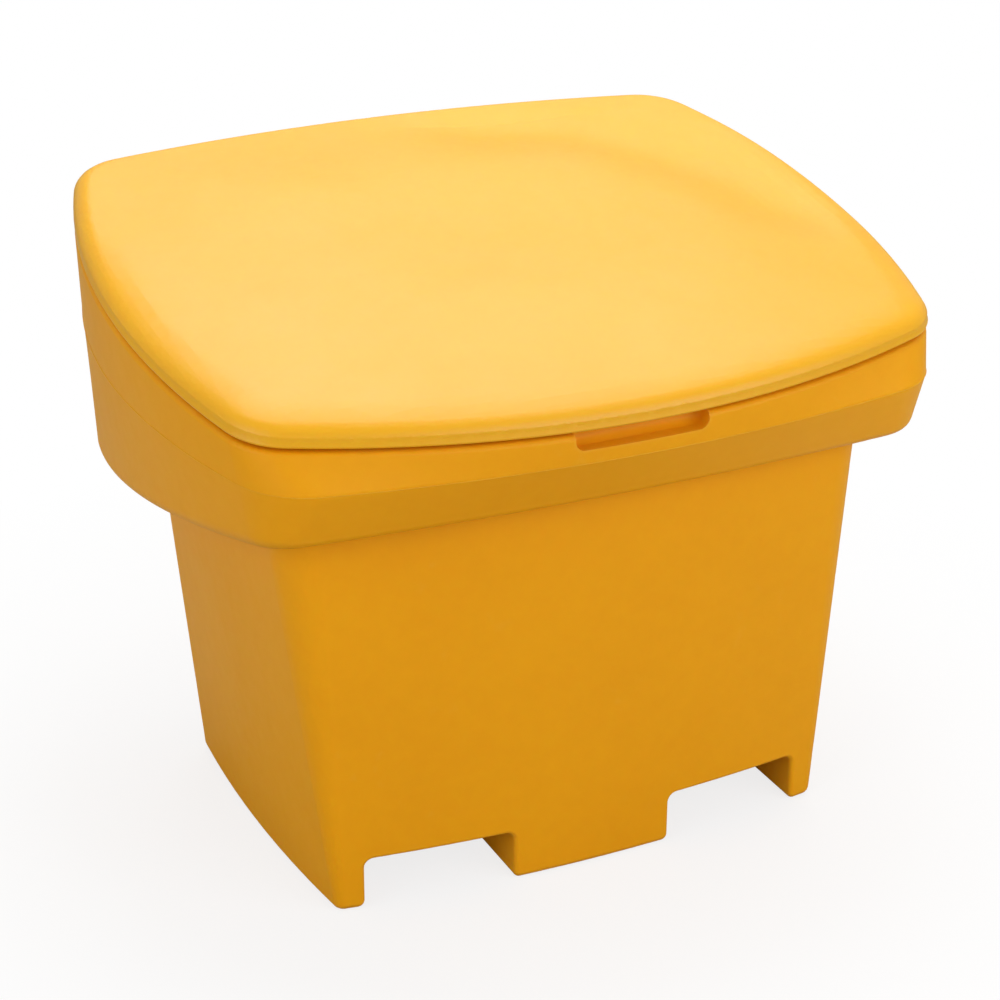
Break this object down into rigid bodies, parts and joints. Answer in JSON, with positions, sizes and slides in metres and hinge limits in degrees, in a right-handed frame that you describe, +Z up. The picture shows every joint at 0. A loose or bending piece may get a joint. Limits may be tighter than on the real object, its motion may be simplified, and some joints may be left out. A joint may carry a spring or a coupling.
{
  "type": "grit salt bin",
  "caption": "Free-standing moulded grit bin with bowed tapered walls, a wedge collar, two fork pockets between skids, a front hand recess and a hinged crowned lid.",
  "frame": {"origin": "on the floor, on the underside of the middle skid, midway between the sides and near the middle of the footprint's depth", "axes": "+Z up, +X to the right seen from the front, the front with the hand recess faces -Y, the hinges are on the +Y side"},
  "size_m": [0.987, 0.821, 0.7886],
  "materials": {
    "yellow_polyethylene": "fine satin grain of a rotomoulded skin",
    "yellow_lid_polyethylene": "fine satin grain of a rotomoulded skin",
    "stainless_steel": "brushed",
    "plated_steel": "zinc plated, satin",
    "brass": "plain",
    "black_rubber": "matte"
  },
  "bodies": {
    "tub_body": {"tub": "yellow_polyethylene", "hinge_body_leaf_left": "stainless_steel", "hinge_body_leaf_right": "stainless_steel", "hinge_pin_left": "stainless_steel", "hinge_pin_right": "stainless_steel", "backing_plate_left": "plated_steel", "backing_plate_right": "plated_steel", "body_leaf_bolts": "stainless_steel", "body_leaf_washers": "plated_steel", "body_leaf_nuts": "plated_steel", "rim_buffers": "black_rubber"},
    "lid_body": {"lid": "yellow_lid_polyethylene", "hinge_lid_leaf_left": "stainless_steel", "hinge_lid_leaf_right": "stainless_steel", "lid_leaf_screws": "stainless_steel", "lid_inserts": "brass"}
  },
  "joints": [
    {"name": "lid_hinge", "type": "hinge", "parent": "tub_body", "child": "lid_body", "pos_m": [0, 0.39855, 0.7554], "axis": [-1, 0, 0], "range_deg": [0, 115]}
  ]
}
